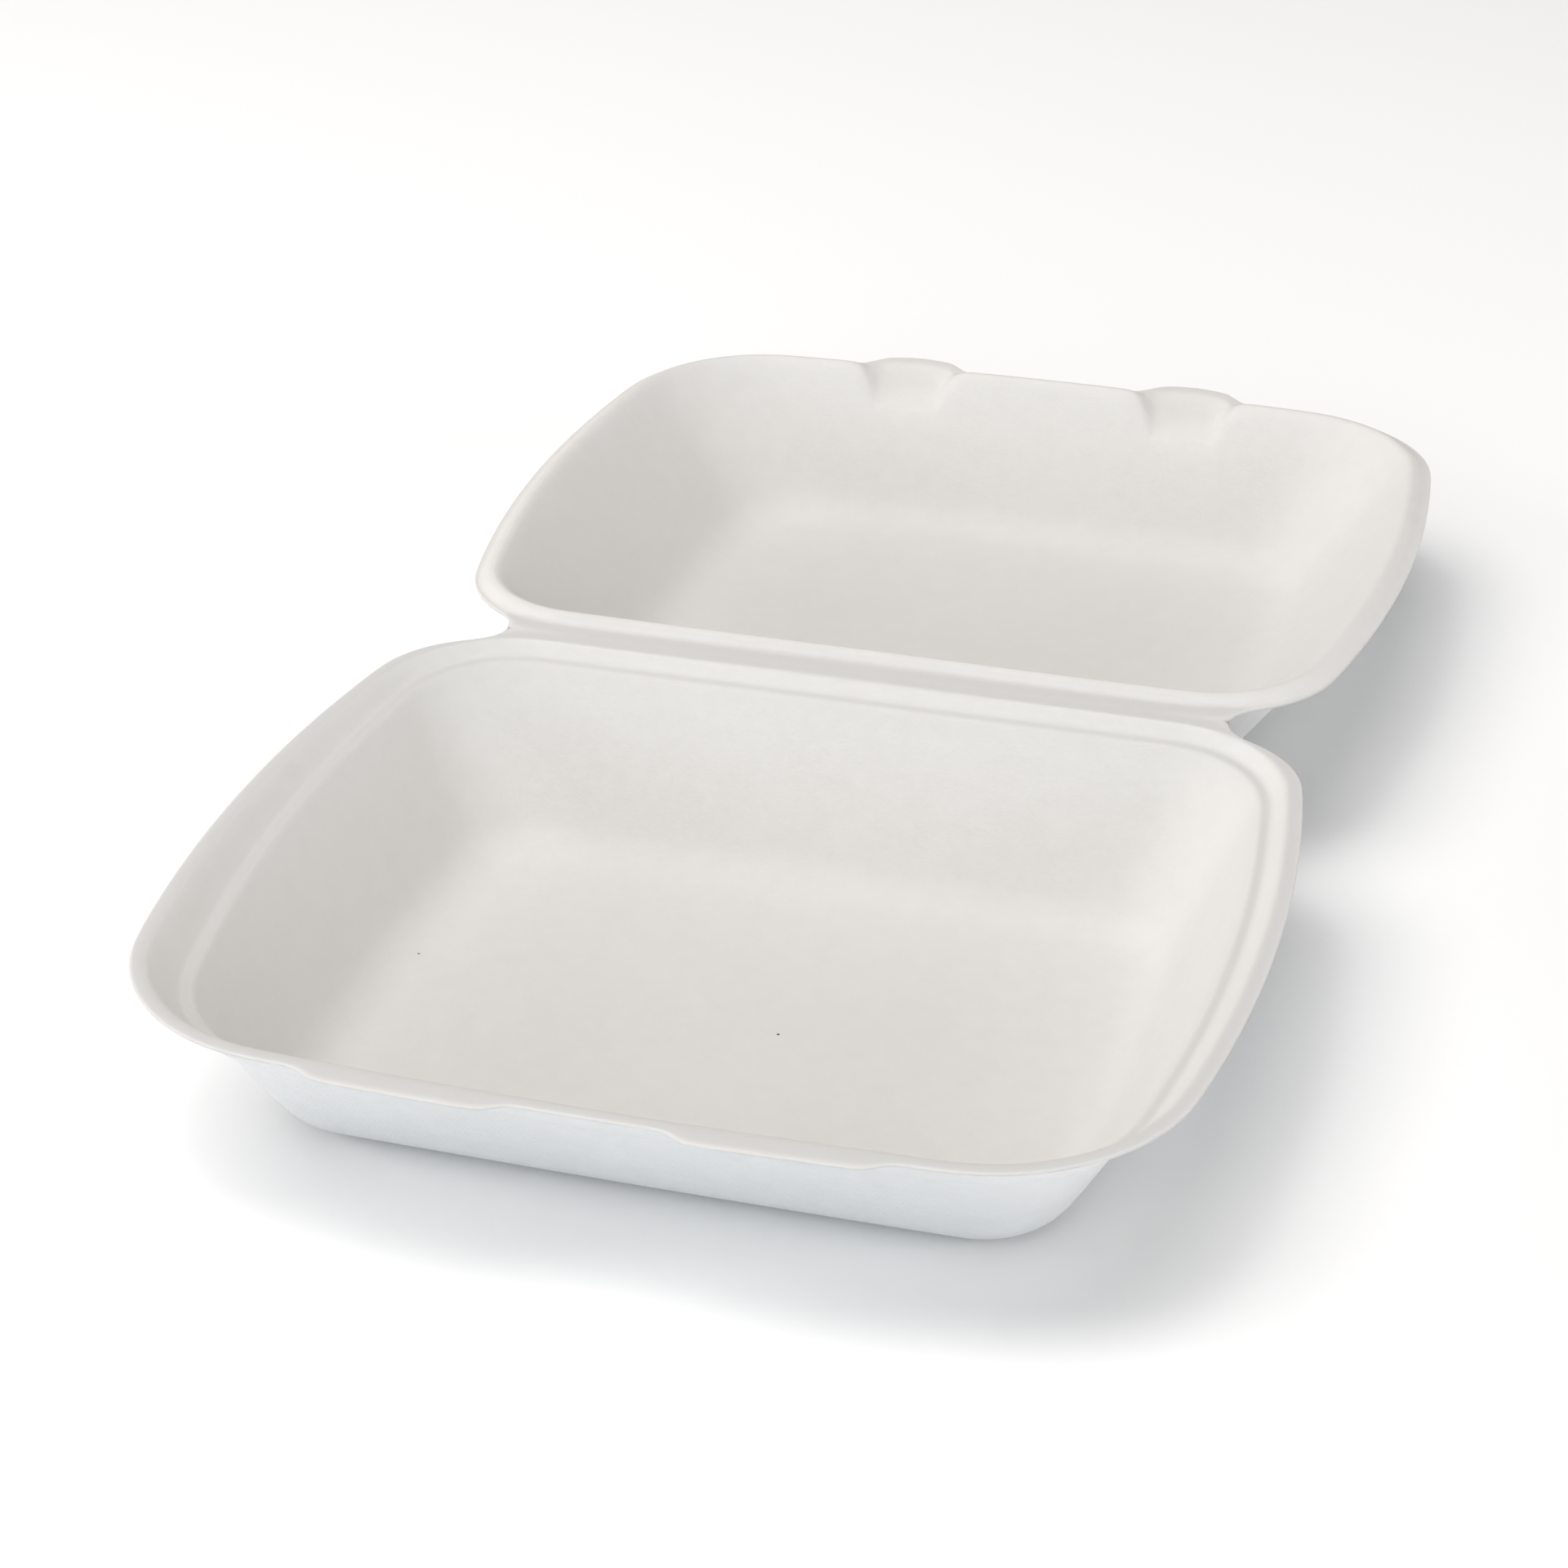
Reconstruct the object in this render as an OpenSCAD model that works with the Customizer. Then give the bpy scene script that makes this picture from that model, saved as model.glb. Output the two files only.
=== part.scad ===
// Hinged takeout container pressed from plant fibre pulp: a deep tray and a shallower lid in one
// sheet, joined along a flat strip. It is drawn open, with the lid lying back on its own panel.
// In plan, v is the distance from the crease, towards the front of the tray or the far side of the lid.

/* [Tray] */
// Width of the tray across the middle of its sides
tray_w = 245; // [225:1:270]
// Depth of the tray from the crease to its front edge
tray_d = 201; // [185:1:225]
// Height of the tray, underside to rim
tray_h = 42.5; // [40:0.5:55]
// Outward bow of each side edge
side_bow = 13; // [9:0.5:15]
// Outward bow of the front edge
front_bow = 5; // [2:0.5:6]
// Corner radius of the rim at the front
front_corner = 46; // [42:1:50]
// Corner radius of the rim near the hinge
back_corner = 28; // [26:1:31]
// Distance of the rim's near corners from the crease
corner_off = 6.4; // [5.2:0.1:6.5]

/* [Tray rim] */
// Width of the flat flange round the rim
flange_w = 4; // [3.7:0.1:5.5]
// Drop of the step inside the flange, at the front
step_front = 9.5; // [6:0.5:12]
// Drop of the step inside the flange, beside the hinge
step_back = 3.4; // [2.7:0.1:4.5]
// Lean of the step from the vertical, in degrees
step_lean = 35; // [32:1:45]
// How much larger the step's near corners are than the rim's
step_corner_more = 5; // [4:0.5:6]
// Width of the ledge below the step
ledge_w = 3.1; // [2:0.1:4.5]
// How far each front tab stands out of the flange
tab_out = 3.6; // [2:0.1:5]
// Width of a front tab where it meets the flange
tab_w = 50; // [40:1:50]
// Distance of each tab from the middle of the front
tab_x = 40.5; // [39:0.5:41]
// Length of the slant at each end of a tab, along the rim
tab_slant = 8; // [4:0.5:9]
// Length of the soft bends along the rims
rim_bend = 1.1; // [0.8:0.1:1.4]

/* [Tray floor] */
// Inset of the floor from the rim at the sides
floor_side_in = 34; // [30:0.5:38]
// Inset of the floor from the rim at the front
floor_front_in = 34.5; // [31:0.5:38]
// Inset of the floor from the crease
floor_back_in = 33.5; // [29:0.5:37]
// Corner radius of the floor in plan
floor_corner = 17; // [14:1:22]
// Outward bow of the floor's side edges
floor_bow = 2.5; // [1:0.5:4]
// Outward bow of the floor's front edge
floor_front_bow = 0.6; // [0.4:0.1:2]
// Length of the soft bend between wall and floor
floor_bend = 9; // [5:0.5:12]

/* [Lid] */
// Height of the lid, rim to panel
lid_h = 37.5; // [30:0.5:39]
// How far the lid's edge lies inside the tray's edge when closed
lid_in = 3.5; // [2.6:0.1:3.6]
// Corner radius of the lid's rim near the hinge
lid_back_corner = 35; // [29:1:36]
// Height of the rounded crest on the lid's rim at the far side
crest_far = 2.5; // [1.5:0.1:4.5]
// Height of the rounded crest beside the hinge
crest_near = 2; // [1:0.1:2.1]
// Width of the slope outside the crest
crest_slope = 2.7; // [2.4:0.1:4]
// Width of the crest's top
crest_top = 2.4; // [1.6:0.1:3.5]
// Length of the soft bends on each side of the crest's top
crest_bend = 1.2; // [0.8:0.1:1.6]
// Inset of the lid's panel from its rim at the sides
panel_side_in = 38; // [32:0.5:42]
// Inset of the lid's panel from its rim at the far side
panel_far_in = 26; // [24:0.5:32]
// Inset of the lid's panel from the crease
panel_near_in = 30; // [26:0.5:34]
// Corner radius of the panel in plan
panel_corner = 18; // [14:1:22]
// Outward bow of the panel's side edges
panel_bow = 3; // [1:0.5:5]
// Length of the soft bend between the lid's wall and its panel
panel_bend = 9; // [5:0.5:12]

/* [Lid pockets] */
// Width of a pocket along the rim
pocket_w = 32; // [30:1:35]
// Width of a pocket at its foot, on the wall
pocket_foot_w = 24; // [20:1:25]
// Length of the slant at each end of a pocket, along the rim
pocket_slant = 7; // [5:0.5:9]
// Length of the slant at each end of its foot
foot_slant = 4.5; // [2.5:0.5:5]
// Depth of a pocket's foot below the rim
pocket_h = 8.5; // [6:0.5:12]
// Width of the flat lip outside a pocket
pocket_lip = 4.4; // [3:0.1:6]
// How far a pocket's lip stands out past the lid's edge
lip_out = 8.6; // [6:0.1:9.5]
// How much wider the lip is than its pocket
lip_more_w = 4; // [2:0.5:5]
// Length of the slant at each end of a lip
lip_slant = 12; // [8:0.5:14]
// Length of the soft bend at a pocket's foot
pocket_bend = 0.8; // [0.5:0.1:1.2]

/* [Hinge] */
// Radius of the notch at each end of the hinge strip
notch_r = 8.9; // [7:0.1:9]
// Width of the flat strip on each side of the crease
strip_w = 4.2; // [3.6:0.1:5.5]

/* [Sheet] */
// Thickness of the pressed sheet
sheet = 0.8; // [0.6:0.05:1.2]

/* [Fit] */
// Gap between the rims when the lid is closed
close_gap = 0.4; // [0.3:0.05:0.6]
// Gap between the lid's crest and the tray's step when closed, in plan
nest_gap = 0.7; // [0.6:0.05:1]
// Gap between the two halves at the crease
crease_gap = 0.1; // [0.05:0.05:0.2]

/* [Hidden] */
FIBRE = [0.9, 0.89, 0.86];
LID_FIBRE = [0.88, 0.88, 0.86];

// Number of points on each stretch of half an outline
slant_n = 4;
stretch_n = 3;
far_bend_n = 9;
side_n = 7;
near_bend_n = 10;
near_n = 6;

// Number of steps round a small bend and round a floor's bend
small_bend_n = 2;
floor_bend_n = 5;

// Largest share of a span that a bend takes: between two bends, and next to an end
inner_share = 0.48;
end_share = 0.95;

// Outline of the rim: half width, middle of the sides and half their length
rim_a = tray_w / 2;
rim_mid = (tray_d + corner_off) / 2;
rim_half = (tray_d - corner_off) / 2;
step_corner = back_corner + step_corner_more;
crease_y = (tray_d - floor_front_in + floor_back_in) / 2;
pivot_z = tray_h + close_gap / 2;

// The point where two circles cross, on the right of the line from the first centre to the second
function crossing(c0, r0, c1, r1) =
    let (
        gap = c1 - c0,
        far = norm(gap),
        along = (r0 * r0 - r1 * r1 + far * far) / (2 * far),
        off = sqrt(max(r0 * r0 - along * along, 0)),
        ahead = gap / far
    )
    c0 + along * ahead + off * [ahead[1], -ahead[0]];
function bow_radius(half, bow) = (half * half + bow * bow) / (2 * bow);
function heading(from, to) = atan2(to[1] - from[1], to[0] - from[0]);
function on_circle(c, r, a) = c + r * [cos(a), sin(a)];
function arc(c, r, a0, a1, n) = [for (i = [0 : n - 1]) on_circle(c, r, a0 + (a1 - a0) * (i + 1) / n)];
function mix(p, q, f) = p * (1 - f) + q * f;
function spread(x0, x1, n) = [for (i = [0 : n - 1]) x0 + (x1 - x0) * i / n];

// Stations across the far edge: close together on the slants of a tab or pocket
function stations(middle, wide, slant, last) =
    let (x0 = middle - wide / 2, x1 = middle + wide / 2)
    concat(
        spread(0, x0, stretch_n),
        spread(x0, x0 + slant, slant_n),
        spread(x0 + slant, x1 - slant, stretch_n),
        spread(x1 - slant, x1, slant_n),
        spread(x1, last, stretch_n)
    );

// A side's circle, the far edge's circle and the corner between them
function side_c(a, half, bow, mid) = [a - bow_radius(half, bow), mid];
function far_c(a, far, bow) = [0, far - bow_radius(a, bow)];
function far_corner_c(a, mid, half, bow, far, fbow, r) = crossing(
    far_c(a, far, fbow), bow_radius(a, fbow) - r,
    side_c(a, half, bow, mid), bow_radius(half, bow) - r);

// The far edge, its corner and the side of half an outline
function far_half(a, mid, half, bow, far, fbow, r, near_c, spots) =
    let (
        sc = side_c(a, half, bow, mid),
        sr = bow_radius(half, bow),
        fc = far_c(a, far, fbow),
        fr = bow_radius(a, fbow),
        cc = far_corner_c(a, mid, half, bow, far, fbow, r),
        last = fc[0] + fr * cos(heading(fc, cc)),
        xs = stations(spots[0], spots[1], spots[2], last)
    )
    concat(
        [for (x = xs) [x, fc[1] + sqrt(fr * fr - x * x)]],
        [on_circle(fc, fr, heading(fc, cc))],
        arc(cc, r, heading(fc, cc), heading(sc, cc), far_bend_n),
        arc(sc, sr, heading(sc, cc), heading(sc, near_c), side_n)
    );

// Half of a rounded outline with a straight near edge
function ring_half(a, mid, half, bow, far, fbow, r, near, r2, spots) =
    let (
        sc = side_c(a, half, bow, mid),
        sr = bow_radius(half, bow) - r2,
        cy = near + r2,
        nc = [sc[0] + sqrt(sr * sr - (cy - mid) * (cy - mid)), cy]
    )
    concat(
        far_half(a, mid, half, bow, far, fbow, r, nc, spots),
        arc(nc, r2, heading(sc, nc), -90, near_bend_n),
        [for (i = [1 : near_n]) [nc[0] * (1 - i / near_n), near]]
    );

// Middle of the round notch, which the tray's near corner meets in one smooth curve
rim_side_c = side_c(rim_a, rim_half, side_bow, rim_mid);
rim_side_r = bow_radius(rim_half, side_bow) - back_corner;
rim_corner_v = corner_off + back_corner;
rim_corner_c = [
    rim_side_c[0] + sqrt(pow(rim_side_r, 2) - pow(rim_corner_v - rim_mid, 2)),
    rim_corner_v
];
notch_c = [rim_corner_c[0] + sqrt(pow(back_corner + notch_r, 2) - pow(rim_corner_v, 2)), 0];

// Half of the sheet's edge, which runs round the notch to the crease
function edge_half(a, mid, half, bow, far, fbow, r, r2, spots) =
    let (
        sc = side_c(a, half, bow, mid),
        sr = bow_radius(half, bow),
        nc = crossing(notch_c, r2 + notch_r, sc, sr - r2),
        meet = heading(nc, notch_c),
        bend_n = floor(near_bend_n / 2),
        turn_n = near_bend_n - bend_n
    )
    concat(
        far_half(a, mid, half, bow, far, fbow, r, nc, spots),
        arc(nc, r2, heading(sc, nc), meet, bend_n),
        arc(notch_c, notch_r, meet + 180, 180, turn_n),
        [for (i = [1 : near_n]) [(notch_c[0] - notch_r) * (1 - i / near_n), 0]]
    );

// A whole loop from its right half
function loop(half) =
    let (n = len(half))
    concat(half, [for (i = [n - 2 : -1 : 1]) [-half[i][0], half[i][1]]]);

// A loop moved inwards by its own distance at each point
function moved_in(ring, by) =
    let (n = len(ring))
    [for (i = [0 : n - 1])
        let (run = ring[(i + 1) % n] - ring[(i + n - 1) % n], size = norm(run))
        ring[i] + by[i] * [run[1], -run[0]] / size];
function lifted(ring, z) = [for (i = [0 : len(ring) - 1]) [ring[i][0], ring[i][1], z[i]]];
function level(ring, z) = [for (p = ring) [p[0], p[1], z]];

// The soft path of one section: each inner corner becomes a short curve
function towards(q, p, bend, share) = q + (p - q) * min(bend / norm(p - q), share);
function soft_corner(before, q, after, n) =
    [for (i = [0 : n]) mix(mix(before, q, i / n), mix(q, after, i / n), i / n)];
function section(marks, bends, counts) =
    let (n = len(marks))
    concat(
        [marks[0]],
        [for (k = [1 : n - 2])
            let (
                bend = bends[k - 1],
                before = towards(marks[k], marks[k - 1], bend, k == 1 ? end_share : inner_share),
                after = towards(marks[k], marks[k + 1], bend, k == n - 2 ? end_share : inner_share)
            )
            each soft_corner(before, marks[k], after, counts[k - 1])],
        [marks[n - 1]]
    );
function sections(rings, bends, counts) =
    [for (i = [0 : len(rings[0]) - 1]) section([for (ring = rings) ring[i]], bends, counts)];

// A closed sheet below a grid of sections, with flat ends where it is flat
function unit(v) = v / norm(v);
function underside(grid) =
    let (n = len(grid), m = len(grid[0]))
    [for (i = [0 : n - 1]) [for (j = [0 : m - 1])
        let (
            across = grid[i][min(j + 1, m - 1)] - grid[i][max(j - 1, 0)],
            round = grid[(i + 1) % n][j] - grid[(i + n - 1) % n][j],
            up = j < 2 || j > m - 3 ? [0, 0, 1] : unit(cross(round, across))
        )
        grid[i][j] - sheet * up * sign(up[2])]];
module pressed_sheet(grid) {
    n = len(grid);
    m = len(grid[0]);
    below = underside(grid);
    tops = [for (column = grid) each column];
    bottoms = [for (column = below) each column];
    k = n * m;
    quads = [for (i = [0 : n - 1]) for (j = [0 : m - 2])
        [i * m + j, i * m + j + 1, ((i + 1) % n) * m + j + 1, ((i + 1) % n) * m + j]];
    top_faces = [for (q = quads) each [[q[2], q[1], q[0]], [q[3], q[2], q[0]]]];
    bottom_faces = [for (q = quads) each [[q[0] + k, q[1] + k, q[2] + k], [q[0] + k, q[2] + k, q[3] + k]]];
    rim_faces = [for (i = [0 : n - 1])
        let (a = i * m, b = ((i + 1) % n) * m)
        each [[b, a, b + k], [a, a + k, b + k]]];
    panel_top = [[for (i = [0 : n - 1]) i * m + m - 1]];
    panel_bottom = [[for (i = [n - 1 : -1 : 0]) i * m + m - 1 + k]];
    polyhedron(
        points = concat(tops, bottoms),
        faces = concat(top_faces, bottom_faces, rim_faces, panel_top, panel_bottom),
        convexity = 6
    );
}

// How far a point has risen up the slant of a tab or pocket, from 0 outside to 1 on its flat
function in_tab(x, spots) =
    let (f = max(0, min(1, (spots[1] / 2 - abs(abs(x) - spots[0])) / spots[2])))
    f * f * (3 - 2 * f);

// The tray's rings, in order from its edge to its floor
tab_spots = [tab_x, tab_w, tab_slant];
tray_plain_edge = loop(edge_half(rim_a, rim_mid, rim_half, side_bow, tray_d, front_bow,
    front_corner, back_corner, tab_spots));
tray_edge = [for (p = tray_plain_edge) p[1] > rim_mid ? p + [0, tab_out * in_tab(p[0], tab_spots)] : p];
tray_step = loop(ring_half(rim_a - flange_w, rim_mid, rim_half, side_bow, tray_d - flange_w,
    front_bow, front_corner - flange_w, strip_w, step_corner, tab_spots));
step_drop = [for (p = tray_step)
    step_back + (step_front - step_back) * (p[1] - strip_w) / (tray_d - flange_w - strip_w)];
step_run = step_drop * tan(step_lean);
floor_a = rim_a - floor_side_in;
floor_far = tray_d - floor_front_in;
floor_spots = tab_spots * (floor_a - floor_corner) / (rim_a - front_corner);
tray_floor = loop(ring_half(floor_a, (floor_far + floor_back_in) / 2, (floor_far - floor_back_in) / 2,
    floor_bow, floor_far, floor_front_bow, floor_corner, floor_back_in, floor_corner, floor_spots));
around = [for (p = tray_floor) 1];
tray_rings = [
    level(tray_edge, 0),
    level(tray_step, 0),
    lifted(moved_in(tray_step, step_run), -step_drop),
    lifted(moved_in(tray_step, step_run + ledge_w * around), -step_drop),
    level(tray_floor, sheet - tray_h),
    level(moved_in(tray_floor, floor_bend / end_share * around), sheet - tray_h)
];
tray_grid = sections(tray_rings, [rim_bend, rim_bend, rim_bend, floor_bend],
    [small_bend_n, small_bend_n, small_bend_n, floor_bend_n]);

// The lid's rings, on the tray's own outline moved in
pocket_spots = [tab_x, pocket_w, pocket_slant];
foot_spots = [tab_x, pocket_foot_w, foot_slant];
lid_plain_edge = loop(edge_half(rim_a - lid_in, rim_mid, rim_half, side_bow, tray_d - lid_in,
    front_bow, front_corner - lid_in, lid_back_corner, pocket_spots));
lip_spots = [tab_x, pocket_w + lip_more_w, lip_slant];
lid_edge = [for (p = lid_plain_edge)
    p[1] > rim_mid ? p + [0, lip_out * in_tab(p[0], lip_spots)] : p];
lid_foot_in = flange_w + nest_gap;
function lid_ring(by, spots) = loop(ring_half(rim_a - lid_foot_in - by, rim_mid, rim_half, side_bow,
    tray_d - lid_foot_in - by, front_bow, front_corner - lid_foot_in - by, strip_w + nest_gap + by,
    step_corner - nest_gap - by, spots));
lid_foot = lid_ring(0, pocket_spots);
lid_crest_out = lid_ring(crest_slope, pocket_spots);
lid_crest_in = lid_ring(crest_slope + crest_top, pocket_spots);
crest_rise = [for (p = lid_foot)
    crest_near + (crest_far - crest_near) * (p[1] - strip_w) / (tray_d - flange_w - strip_w)];
panel_a = rim_a - lid_in - panel_side_in;
panel_far = tray_d - lid_in - panel_far_in;
lid_panel = loop(ring_half(panel_a, (panel_far + panel_near_in) / 2, (panel_far - panel_near_in) / 2,
    panel_bow, panel_far, front_bow, panel_corner, panel_near_in, panel_corner, foot_spots));
lid_panel_z = sheet - lid_h;

// Where a pocket is, the crest gives way to a flat lip and a panel that leans down to the wall
pocket_at = [for (p = lid_foot) p[1] > rim_mid ? in_tab(p[0], pocket_spots) : 0];
lid_wall = [for (i = [0 : len(lid_foot) - 1])
    let (
        top = [lid_crest_in[i][0], lid_crest_in[i][1], crest_rise[i]],
        bottom = [lid_panel[i][0], lid_panel[i][1], lid_panel_z],
        f = (top[2] + pocket_h) / (top[2] - bottom[2]),
        at = mix(top, bottom, f),
        x = pocket_at[i] > 0 ? lid_panel[i][0] : at[0]
    )
    [x, at[1], at[2]]];
lid_lip = [for (i = [0 : len(lid_foot) - 1])
    let (plain = [lid_foot[i][0], lid_foot[i][1], 0], edge = lid_edge[i])
    mix(plain, [edge[0], edge[1] - pocket_lip, 0], pocket_at[i])];
function leaning(ring, f) = [for (i = [0 : len(ring) - 1])
    mix(ring[i], mix(lid_lip[i], lid_wall[i], f), pocket_at[i])];
lid_rings = [
    level(lid_edge, 0),
    lid_lip,
    leaning(lifted(lid_crest_out, crest_rise), 1 / 3),
    leaning(lifted(lid_crest_in, crest_rise), 2 / 3),
    lid_wall,
    level(lid_panel, lid_panel_z),
    level(moved_in(lid_panel, panel_bend / end_share * around), lid_panel_z)
];
lid_grid = sections(lid_rings, [rim_bend, crest_bend, crest_bend, pocket_bend, panel_bend],
    [small_bend_n, small_bend_n, small_bend_n, 1, floor_bend_n]);

// The lid lies back until the far side of its panel meets the plane that the tray stands on
rest_v = panel_far - panel_bend;
rest_drop = lid_h + close_gap / 2;
droop = asin(pivot_z / norm([rest_v, rest_drop])) - atan2(rest_drop, rest_v);

module base_tray() {
    color(FIBRE)
    translate([0, crease_y, tray_h])
    rotate([0, 0, 180])
    pressed_sheet(tray_grid);
}

module lid() {
    color(LID_FIBRE)
    translate([0, crease_y, pivot_z])
    rotate([-droop, 0, 0])
    translate([0, crease_gap, -close_gap / 2])
    pressed_sheet(lid_grid);
}

base_tray();
lid();
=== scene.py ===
import math

import bmesh
import bpy
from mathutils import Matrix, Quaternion, Vector, noise


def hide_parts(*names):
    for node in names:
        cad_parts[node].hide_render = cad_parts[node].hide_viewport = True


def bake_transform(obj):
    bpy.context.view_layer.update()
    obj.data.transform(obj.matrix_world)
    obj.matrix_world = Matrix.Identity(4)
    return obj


# Takeout container of moulded plant fibre, lying open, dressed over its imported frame. Lengths are in metres.

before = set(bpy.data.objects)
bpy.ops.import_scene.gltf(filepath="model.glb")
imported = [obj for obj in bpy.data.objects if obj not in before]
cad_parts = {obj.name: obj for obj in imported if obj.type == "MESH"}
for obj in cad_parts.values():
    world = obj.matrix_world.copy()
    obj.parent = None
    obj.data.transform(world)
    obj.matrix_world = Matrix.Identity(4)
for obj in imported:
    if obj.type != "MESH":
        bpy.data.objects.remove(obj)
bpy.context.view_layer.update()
print("frame loaded:", ", ".join(sorted(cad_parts)))

# Small helpers for materials


def addNode(tree, kind, **settings):
    node = tree.nodes.new(kind)
    for name, value in settings.items():
        setattr(node, name, value)
    return node


def feed(tree, node, socket, source):
    # a source is an output socket, or a plain value for the input
    target = node.inputs[socket]
    if isinstance(source, bpy.types.NodeSocket):
        tree.links.new(source, target)
    else:
        target.default_value = source


def mathNode(tree, operation, first, second=0.0):
    node = addNode(tree, "ShaderNodeMath", operation=operation)
    feed(tree, node, 0, first)
    feed(tree, node, 1, second)
    return node.outputs[0]


def noiseNode(tree, vector, scale, detail=2.0, roughness=0.5, distortion=0.0):
    node = addNode(tree, "ShaderNodeTexNoise")
    feed(tree, node, "Vector", vector)
    settings = {"Scale": scale, "Detail": detail, "Roughness": roughness, "Distortion": distortion}
    for name, value in settings.items():
        feed(tree, node, name, value)
    return node.outputs["Fac"]


def ramp(tree, value, low, high, lowOut=0.0, highOut=1.0):
    node = addNode(tree, "ShaderNodeMapRange", interpolation_type="SMOOTHSTEP")
    for index, source in enumerate((value, low, high, lowOut, highOut)):
        feed(tree, node, index, source)
    return node.outputs[0]


def mixColour(tree, share, first, second):
    node = addNode(tree, "ShaderNodeMix", data_type="RGBA")
    feed(tree, node, 0, share)
    feed(tree, node, 6, first)
    feed(tree, node, 7, second)
    return node.outputs[2]


# Pressed fibres: short ridges lying in several directions over a cloudy pulp, shared by every face of the sheet

fibreGrain = {
    "turns": ((0.0, 0.0, 0.2), (0.4, 0.3, 1.25), (-0.5, 0.7, 2.3), (0.9, -0.4, -0.6)),
    "along": 0.16,       # a fibre is about six times as long as it is wide
    "ridge": 0.045,
    "strand": {"scale": 1.0, "detail": 1.5, "roughness": 0.45, "distortion": 0.5},
    "cloud": {"detail": 5.0, "roughness": 0.62},
    "shift": (7.3, 2.9, 5.1),    # moves each direction's fibres apart from the others
    "strandHeight": 0.4,
}


def fibreGrainGroup():
    group = bpy.data.node_groups.new("pressedFibreGrain", "ShaderNodeTree")
    face = group.interface
    face.new_socket("Vector", in_out="INPUT", socket_type="NodeSocketVector")
    face.new_socket("Fibre Scale", in_out="INPUT", socket_type="NodeSocketFloat")
    face.new_socket("Cloud Scale", in_out="INPUT", socket_type="NodeSocketFloat")
    for name in ("Fibres", "Clouds", "Height"):
        face.new_socket(name, in_out="OUTPUT", socket_type="NodeSocketFloat")
    inside = addNode(group, "NodeGroupInput")
    outside = addNode(group, "NodeGroupOutput")
    scaled = addNode(group, "ShaderNodeVectorMath", operation="SCALE")
    feed(group, scaled, 0, inside.outputs["Vector"])
    feed(group, scaled, 3, inside.outputs["Fibre Scale"])
    strands = None
    for index, turn in enumerate(fibreGrain["turns"]):
        turned = addNode(group, "ShaderNodeMapping")
        feed(group, turned, "Vector", scaled.outputs[0])
        feed(group, turned, "Location", tuple(index * step for step in fibreGrain["shift"]))
        feed(group, turned, "Rotation", turn)
        feed(group, turned, "Scale", (fibreGrain["along"], 1.0, 1.0))
        value = noiseNode(group, turned.outputs[0], **fibreGrain["strand"])
        away = mathNode(group, "ABSOLUTE", mathNode(group, "SUBTRACT", value, 0.5))
        ridge = ramp(group, away, 0.0, fibreGrain["ridge"], 1.0, 0.0)
        strands = ridge if strands is None else mathNode(group, "MAXIMUM", strands, ridge)
    cloudy = noiseNode(group, inside.outputs["Vector"], inside.outputs["Cloud Scale"], **fibreGrain["cloud"])
    feed(group, outside, "Fibres", strands)
    feed(group, outside, "Clouds", cloudy)
    height = mathNode(group, "ADD", mathNode(group, "MULTIPLY", strands, fibreGrain["strandHeight"]), cloudy)
    feed(group, outside, "Height", height)
    return group


grainGroup = fibreGrainGroup()

# Looks of the sheet: the smooth side against the mould, the side on the wire screen with its colour paled and
# cooled as painted fill light, and the trimmed edge

smoothSide = {
    "pale": (0.702, 0.687, 0.664, 1.0),
    "deep": (0.682, 0.665, 0.640, 1.0),
    "fibre": (0.724, 0.709, 0.687, 1.0),
    # painted shade colour for the up-facing flat rim
    "flatShadeColour": (0.610, 0.600, 0.582, 1.0),
    "fleck": (0.430, 0.355, 0.262, 1.0),
    "fleckShare": 0.748,
    "fibreScale": 2600.0, "cloudScale": 170.0,
    "grain": 0.00007, "waves": 0.0005, "roughness": (0.70, 0.86), "screen": 0.0,
}
# painted light: the outer side's paler, cooler colours stand in for cool fill light on the outer walls; its
# grain, roughness and screen marks are the real screen side
screenSideWithPaintedFill = dict(smoothSide, pale=(0.735, 0.742, 0.750, 1.0), deep=(0.705, 0.710, 0.714, 1.0),
                  fibreScale=2100.0, grain=0.00010, roughness=(0.80, 0.94), screen=0.00003)
trimmedEdge = dict(smoothSide, pale=(0.735, 0.720, 0.698, 1.0), deep=(0.675, 0.658, 0.632, 1.0),
                   fibreScale=3600.0, grain=0.00022, roughness=(0.84, 0.96), waves=0.0)
specks = {
    "colour": (0.055, 0.042, 0.032, 1.0),
    "spots": (((-0.0827, 0.0107, 0.0008), 0.00052), ((0.0091, 0.0010, 0.0008), 0.00036)),
    "ragged": {"scale": 2400.0, "detail": 2.0}, "raggedLift": 0.5,
    "core": 0.7, "fade": 1.15,    # shares of the radius
}
screenMarks = {"pitch": 0.0011, "facing": (0.35, 0.75)}
pulpMix = {
    "broad": {"scale": 22.0, "detail": 3.0, "roughness": 0.55},
    "cloudShare": 0.6, "broadShare": 0.4, "cloudRange": (0.36, 0.64),
    "fibreShare": 0.35,
    "fleck": {"scale": 900.0, "detail": 3.0, "roughness": 0.6, "distortion": 0.8},
    "fleckStep": 0.03, "fleckStrength": 0.45,
    # the crease share darkens the crease as painted shade
    "rimShare": 0.30, "creaseShadeShare": 0.22,
    "roughRange": (0.3, 1.0),
    "slow": {"scale": 26.0, "detail": 2.0, "roughness": 0.5},
    "bump": 0.6, "specular": 0.28, "sheen": 0.08, "sheenRoughness": 0.6,
}


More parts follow.
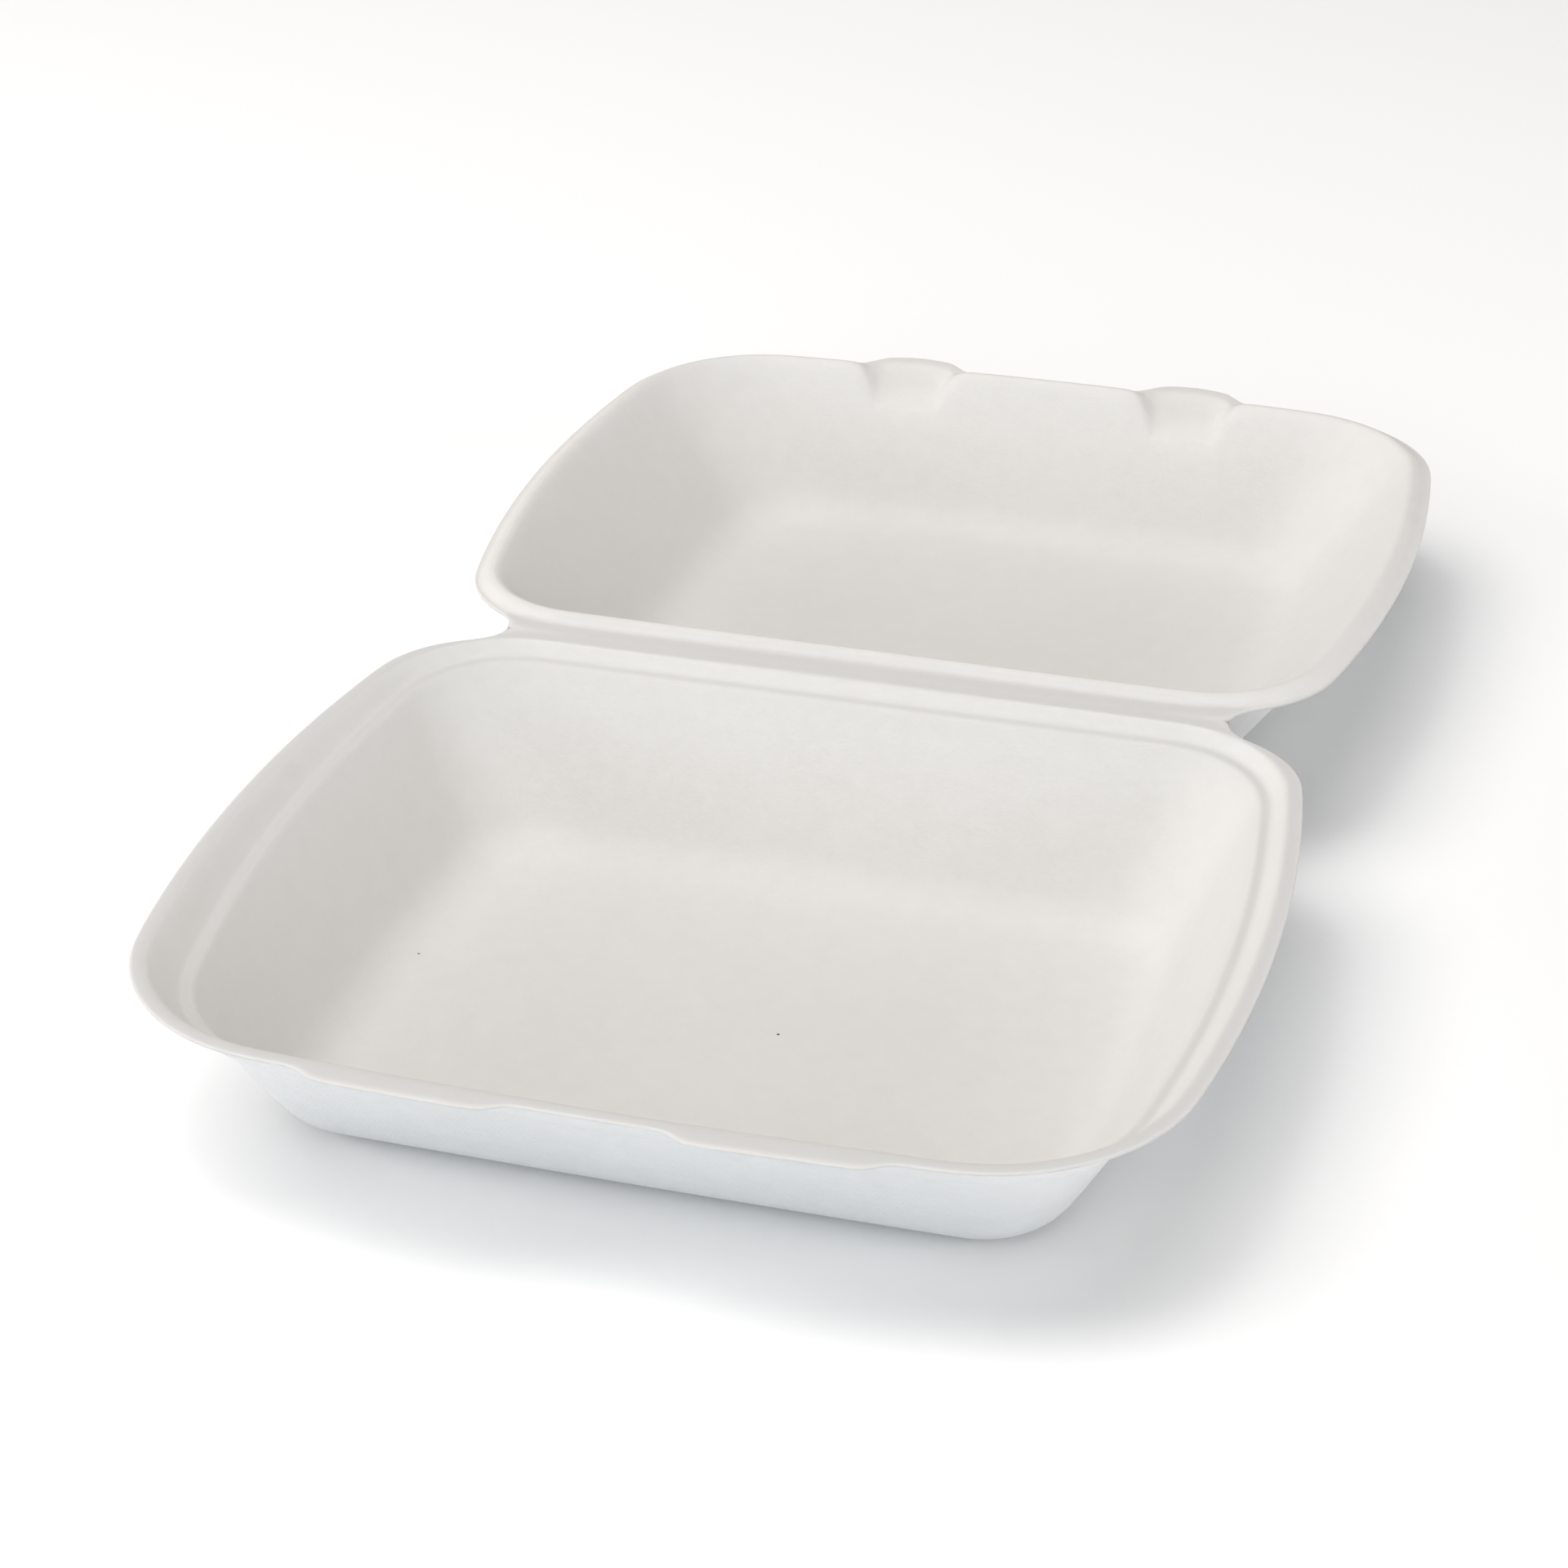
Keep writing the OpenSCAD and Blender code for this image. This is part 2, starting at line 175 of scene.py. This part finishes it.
def screenHeight(tree, coordinates, normal):
    # wire marks of the forming screen, laid on each wall by the way it faces
    place = addNode(tree, "ShaderNodeSeparateXYZ")
    feed(tree, place, 0, coordinates)
    facing = addNode(tree, "ShaderNodeSeparateXYZ")
    feed(tree, facing, 0, normal)
    turn = 2 * math.pi / screenMarks["pitch"]
    waves = [mathNode(tree, "SINE", mathNode(tree, "MULTIPLY", place.outputs[axis], turn)) for axis in range(3)]
    shares = [ramp(tree, mathNode(tree, "ABSOLUTE", facing.outputs[axis]), *screenMarks["facing"])
              for axis in range(3)]
    total = None
    for axis in range(3):
        woven = mathNode(tree, "MULTIPLY", waves[(axis + 1) % 3], waves[(axis + 2) % 3])
        woven = mathNode(tree, "MULTIPLY", woven, shares[axis])
        total = woven if total is None else mathNode(tree, "ADD", total, woven)
    return total


def speckMask(tree, coordinates):
    ragged = noiseNode(tree, coordinates, **specks["ragged"])
    mask = None
    for spot, radius in specks["spots"]:
        away = addNode(tree, "ShaderNodeVectorMath", operation="DISTANCE")
        feed(tree, away, 0, coordinates)
        feed(tree, away, 1, spot)
        stretch = mathNode(tree, "ADD", ragged, specks["raggedLift"])
        reach = mathNode(tree, "MULTIPLY", away.outputs["Value"], stretch)
        dot = ramp(tree, reach, radius * specks["core"], radius * specks["fade"], 1.0, 0.0)
        mask = dot if mask is None else mathNode(tree, "MAXIMUM", mask, dot)
    return mask


def pulpMaterial(name, look):
    material = bpy.data.materials.new(name)
    material.use_nodes = True
    tree = material.node_tree
    shader = next(node for node in tree.nodes if node.type == "BSDF_PRINCIPLED")
    where = addNode(tree, "ShaderNodeTexCoord")
    coordinates = where.outputs["Object"]
    grain = addNode(tree, "ShaderNodeGroup", node_tree=grainGroup)
    feed(tree, grain, "Vector", coordinates)
    feed(tree, grain, "Fibre Scale", look["fibreScale"])
    feed(tree, grain, "Cloud Scale", look["cloudScale"])

    # colour: cloudy pulp, paler fibres, tan flecks, painted shade darkening the up-facing flat rim, a paler
    # trimmed edge and painted shade darkening the fold
    broad = noiseNode(tree, coordinates, **pulpMix["broad"])
    cloud = mathNode(tree, "ADD", mathNode(tree, "MULTIPLY", grain.outputs["Clouds"], pulpMix["cloudShare"]),
                     mathNode(tree, "MULTIPLY", broad, pulpMix["broadShare"]))
    colour = mixColour(tree, ramp(tree, cloud, *pulpMix["cloudRange"]), look["deep"], look["pale"])
    fibres = mathNode(tree, "MULTIPLY", grain.outputs["Fibres"], pulpMix["fibreShare"])
    colour = mixColour(tree, fibres, colour, look["fibre"])
    flecks = noiseNode(tree, coordinates, **pulpMix["fleck"])
    fleck = ramp(tree, flecks, look["fleckShare"], look["fleckShare"] + pulpMix["fleckStep"])
    colour = mixColour(tree, mathNode(tree, "MULTIPLY", fleck, pulpMix["fleckStrength"]), colour, look["fleck"])
    # painted shade on the up-facing flat rim, laid on by how flat each point faces up
    flatShade = addNode(tree, "ShaderNodeAttribute", attribute_name="paintedFlatShade").outputs["Fac"]
    colour = mixColour(tree, flatShade, colour, look["flatShadeColour"])
    rim = addNode(tree, "ShaderNodeAttribute", attribute_name="trimmedRim").outputs["Fac"]
    colour = mixColour(tree, mathNode(tree, "MULTIPLY", rim, pulpMix["rimShare"]), colour, trimmedEdge["pale"])
    # painted shade darkening along the hinge crease
    creaseShadeMask = addNode(tree, "ShaderNodeAttribute", attribute_name="paintedCreaseShade").outputs["Fac"]
    colour = mixColour(tree, mathNode(tree, "MULTIPLY", creaseShadeMask, pulpMix["creaseShadeShare"]), colour, look["deep"])
    colour = mixColour(tree, speckMask(tree, coordinates), colour, specks["colour"])
    feed(tree, shader, "Base Color", colour)

    rough = ramp(tree, grain.outputs["Height"], *pulpMix["roughRange"], *look["roughness"])
    feed(tree, shader, "Roughness", rough)

    # relief: fine grain, screen marks where the look has them, and slow waves of the pressed wall
    height = mathNode(tree, "MULTIPLY", grain.outputs["Height"], look["grain"])
    if look["waves"]:
        slow = noiseNode(tree, coordinates, **pulpMix["slow"])
        height = mathNode(tree, "ADD", height, mathNode(tree, "MULTIPLY", slow, look["waves"]))
    if look["screen"]:
        woven = screenHeight(tree, coordinates, where.outputs["Normal"])
        height = mathNode(tree, "ADD", height, mathNode(tree, "MULTIPLY", woven, look["screen"]))
    bump = addNode(tree, "ShaderNodeBump")
    feed(tree, bump, "Strength", pulpMix["bump"])
    feed(tree, bump, "Distance", 1.0)
    feed(tree, bump, "Height", height)
    feed(tree, shader, "Normal", bump.outputs["Normal"])
    shader.inputs["Specular IOR Level"].default_value = pulpMix["specular"]
    shader.inputs["Sheen Weight"].default_value = pulpMix["sheen"]
    shader.inputs["Sheen Roughness"].default_value = pulpMix["sheenRoughness"]
    return material


# The pressed sheet: tray, hinge strip and lid in one skin

pressedSheet = {
    "thickness": 0.0008,
    "creaseY": 0.1, "creaseZ": 0.0421, "creaseHalf": 0.0919,
    "flangeRows": 2,       # extra rows between the trimmed edge and the first bend
    "foldReach": 0.0021,
    "wander": 0.00016,     # how far the walls wander from the mould
    "wanderScale": 24.0,
    # painted shade on up-facing flat rim parts: height and depth limits and the facing range
    "flatShade": {"above": 0.029, "before": 0.107, "leaning": 0.80, "flat": 0.97},
    "levels": 1,
    "onCreaseY": 0.0002, "weld": 1e-6, "weldCrease": 0.00015,
    "samePlane": 0.99999, "edgeLength": 0.00002, "edgeUpright": 0.998,
    "pairAngle": 80, "pairFlow": 1.6,       # how readily triangles are paired into quads
    "wanderFrom": 0.004, "wanderFull": 0.02,
}


def onCrease(vert):
    spec = pressedSheet
    return (abs(vert.co.y - spec["creaseY"]) < spec["onCreaseY"] and abs(vert.co.x) < spec["creaseHalf"]
            and abs(vert.co.z - spec["creaseZ"]) < spec["thickness"])


def dissolvePanel(bm, faces):
    # the flat middle of a tray or lid becomes one face on each side
    widest = max(faces, key=lambda face: face.calc_area())
    normal, point = widest.normal.copy(), widest.verts[0].co.copy()
    flat = [face for face in faces if abs(face.normal.dot(normal)) > pressedSheet["samePlane"]
            and abs((face.calc_center_median() - point).dot(normal)) < 1.5 * pressedSheet["thickness"]]
    upper = [face for face in flat if face.normal.z > 0]
    lower = [face for face in flat if face.normal.z < 0]
    for panel in (upper, lower):
        bmesh.ops.dissolve_faces(bm, faces=panel, use_verts=False)


def isThicknessEdge(edge):
    spec = pressedSheet
    run = edge.verts[1].co - edge.verts[0].co
    return (abs(run.length - spec["thickness"]) < spec["edgeLength"]
            and abs(run.z) > spec["edgeUpright"] * run.length)


def sidesOfSheet(bm, rimFaces):
    # walks over the faces from the tray's panel, without crossing the trimmed edge
    start = max((face for face in bm.faces if face.normal.z > 0), key=lambda face: face.calc_area())
    found, waiting = {start}, [start]
    while waiting:
        for edge in waiting.pop().edges:
            for face in edge.link_faces:
                if face not in found and face not in rimFaces:
                    found.add(face)
                    waiting.append(face)
    return found


def flatShadeShare(vert):
    # painted shade: the up-facing flat flange, ledge and hinge strip are darkened against the walls, as if less
    # light fell on them from above
    spec = pressedSheet["flatShade"]
    if vert.co.z < spec["above"] or vert.co.y > spec["before"]:
        return 0.0
    return min(1.0, max(0.0, (vert.normal.z - spec["leaning"]) / (spec["flat"] - spec["leaning"])))


def buildSheet():
    spec = pressedSheet
    bm = bmesh.new()
    for nodeName in ("base_tray", "lid"):
        bm.from_mesh(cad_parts[nodeName].data)
    trimmed = bm.verts.layers.float.new("trimmedRim")
    creaseShade = bm.verts.layers.float.new("paintedCreaseShade")
    flatShade = bm.verts.layers.float.new("paintedFlatShade")
    bmesh.ops.remove_doubles(bm, verts=bm.verts, dist=spec["weld"])
    bm.normal_update()
    for inTray in (True, False):
        dissolvePanel(bm, [face for face in bm.faces
                           if (face.calc_center_median().y < spec["creaseY"]) == inTray])
    triangles = [face for face in bm.faces if len(face.verts) == 3]
    bmesh.ops.join_triangles(bm, faces=triangles, angle_face_threshold=math.radians(spec["pairAngle"]),
                             angle_shape_threshold=math.pi, topology_influence=spec["pairFlow"])
    print("paired into quads, triangles left:", sum(len(face.verts) == 3 for face in bm.faces))

    # the two halves become one skin along the crease
    meeting = [face for face in bm.faces if all(onCrease(vert) for vert in face.verts)]
    bmesh.ops.delete(bm, geom=meeting, context="FACES")
    bmesh.ops.remove_doubles(bm, verts=[vert for vert in bm.verts if onCrease(vert)],
                             dist=spec["weldCrease"])

    thickness = [edge for edge in bm.edges if isThicknessEdge(edge)]
    rimFaces = {face for edge in thickness for face in edge.link_faces}
    topFaces = sidesOfSheet(bm, rimFaces)
    for face in bm.faces:
        face.material_index = 2 if face in rimFaces else 0 if face in topFaces else 1
        face.smooth = True
    rimVerts = {vert for face in rimFaces for vert in face.verts}
    creaseVerts = {vert for vert in bm.verts if onCrease(vert)}
    edgeVerts = rimVerts | creaseVerts
    crossing = [edge for edge in bm.edges if (edge.verts[0] in edgeVerts) != (edge.verts[1] in edgeVerts)]
    for vert in rimVerts:
        vert[trimmed] = 1.0
    # painted shade along the crease, spread by the rows cut next to it
    for vert in creaseVerts:
        vert[creaseShade] = 1.0
    bmesh.ops.subdivide_edges(bm, edges=crossing, cuts=spec["flangeRows"], use_grid_fill=True)
    bm.normal_update()
    for vert in bm.verts:
        vert[flatShade] = flatShadeShare(vert)
        vert[trimmed] = max(0.0, vert[trimmed]) ** 2
        vert[creaseShade] = max(0.0, vert[creaseShade]) ** 2
        reach = min(1.0, max(0.0, (vert.co.z - spec["wanderFrom"]) / spec["wanderFull"]))
        vert.co += noise.noise_vector(vert.co * spec["wanderScale"]) * spec["wander"] * reach
    bm.normal_update()
    mesh = bpy.data.meshes.new("pressedSheet")
    bm.to_mesh(mesh)
    bm.free()
    sheet = bpy.data.objects.new("pressedSheet", mesh)
    bpy.context.scene.collection.objects.link(sheet)
    looks = {"pulpSmoothSide": smoothSide, "pulpScreenSidePaintedFill": screenSideWithPaintedFill, "pulpTrimmedEdge": trimmedEdge}
    for name, look in looks.items():
        mesh.materials.append(pulpMaterial(name, look))
    softening = sheet.modifiers.new("softening", "SUBSURF")
    softening.levels = softening.render_levels = spec["levels"]
    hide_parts("base_tray", "lid")
    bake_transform(sheet)
    print("sheet built:", len(mesh.polygons), "faces")


buildSheet()

# Pale floor

paleFloor = {"half": 7.0, "colour": (0.965, 0.965, 0.965, 1.0), "drop": 0.0001}


def buildFloor():
    mesh = bpy.data.meshes.new("paleFloor")
    bm = bmesh.new()
    bmesh.ops.create_grid(bm, x_segments=1, y_segments=1, size=paleFloor["half"])
    bmesh.ops.translate(bm, verts=bm.verts, vec=(0, 0, -paleFloor["drop"]))
    bm.to_mesh(mesh)
    bm.free()
    floor = bpy.data.objects.new("paleFloor", mesh)
    bpy.context.scene.collection.objects.link(floor)
    material = bpy.data.materials.new("paleFloor")
    material.use_nodes = True
    tree = material.node_tree
    shader = next(node for node in tree.nodes if node.type == "BSDF_PRINCIPLED")
    feed(tree, shader, "Base Color", paleFloor["colour"])
    feed(tree, shader, "Roughness", 0.95)
    feed(tree, shader, "Specular IOR Level", 0.0)
    mesh.materials.append(material)


buildFloor()
print("floor laid")

# Light: broad soft lamps above, on the left and right and cool and low in front, under a dim sky

lightRig = {
    "sky": (0.98, 0.99, 1.0), "skyStrength": 0.21,
    "lamps": (
        {"name": "topLamp", "place": (0.0, 0.1, 2.4), "size": 1.6,
         "watts": 18.0, "colour": (1.0, 0.975, 0.960)},
        {"name": "topLeftLamp", "place": (-0.9, -0.2, 2.0), "size": 1.6,
         "watts": 22.5, "colour": (1.0, 0.975, 0.960)},
        {"name": "lowLeftLamp", "place": (-2.3, -0.5, 0.6), "size": 1.3,
         "watts": 22.0, "colour": (1.0, 0.99, 0.985)},
        {"name": "frontLamp", "place": (-0.4, -2.1, 1.1), "size": 1.5,
         "watts": 10.2, "colour": (1.0, 0.93, 0.88)},
        {"name": "lowFrontLamp", "place": (0.3, -2.4, 0.35), "size": 1.5,
         "watts": 17.5, "colour": (0.68, 0.87, 1.0)},
        {"name": "lowRightLamp", "place": (2.4, -0.3, 0.45), "size": 1.5,
         "watts": 25.5, "colour": (1.0, 0.99, 0.98)},
    ),
    "aim": (0.0, 0.1, 0.0),
}


def buildLight():
    world = bpy.data.worlds.new("evenSky")
    world.use_nodes = True
    backdrop = next(node for node in world.node_tree.nodes if node.type == "BACKGROUND")
    backdrop.inputs["Color"].default_value = (*lightRig["sky"], 1.0)
    backdrop.inputs["Strength"].default_value = lightRig["skyStrength"]
    bpy.context.scene.world = world
    for spec in lightRig["lamps"]:
        lamp = bpy.data.lights.new(spec["name"], "AREA")
        lamp.shape = "DISK"
        lamp.size = spec["size"]
        lamp.energy = spec["watts"]
        lamp.color = spec["colour"]
        holder = bpy.data.objects.new(spec["name"], lamp)
        holder.location = spec["place"]
        aim = Vector(lightRig["aim"]) - Vector(spec["place"])
        holder.rotation_mode = "QUATERNION"
        holder.rotation_quaternion = aim.to_track_quat("-Z", "Y")
        bpy.context.scene.collection.objects.link(holder)


buildLight()
print("lights set")

# Camera at the photograph's angle

cameraView = {
    "focal": 91.866,       # on a 36 mm sensor
    "azimuth": 17.491, "elevation": 29.270, "roll": -0.881,
    "target": (-0.02428, 0.11431, 0.0), "distance": 1.01557,
}


def buildCamera():
    spec = cameraView
    turn, rise = math.radians(spec["azimuth"]), math.radians(spec["elevation"])
    back = Vector((math.sin(turn) * math.cos(rise), -math.cos(turn) * math.cos(rise), math.sin(rise)))
    camera = bpy.data.objects.new("frontCamera", bpy.data.cameras.new("frontCamera"))
    camera.data.sensor_width = 36.0
    camera.data.lens = spec["focal"]
    camera.data.clip_start, camera.data.clip_end = 0.02, 30.0
    camera.location = Vector(spec["target"]) + back * spec["distance"]
    camera.rotation_mode = "QUATERNION"
    roll = Quaternion((0.0, 0.0, 1.0), math.radians(spec["roll"]))
    camera.rotation_quaternion = (-back).to_track_quat("-Z", "Y") @ roll
    bpy.context.scene.collection.objects.link(camera)
    bpy.context.scene.camera = camera


buildCamera()
bpy.context.scene.view_settings.view_transform = "Standard"
print("camera placed")
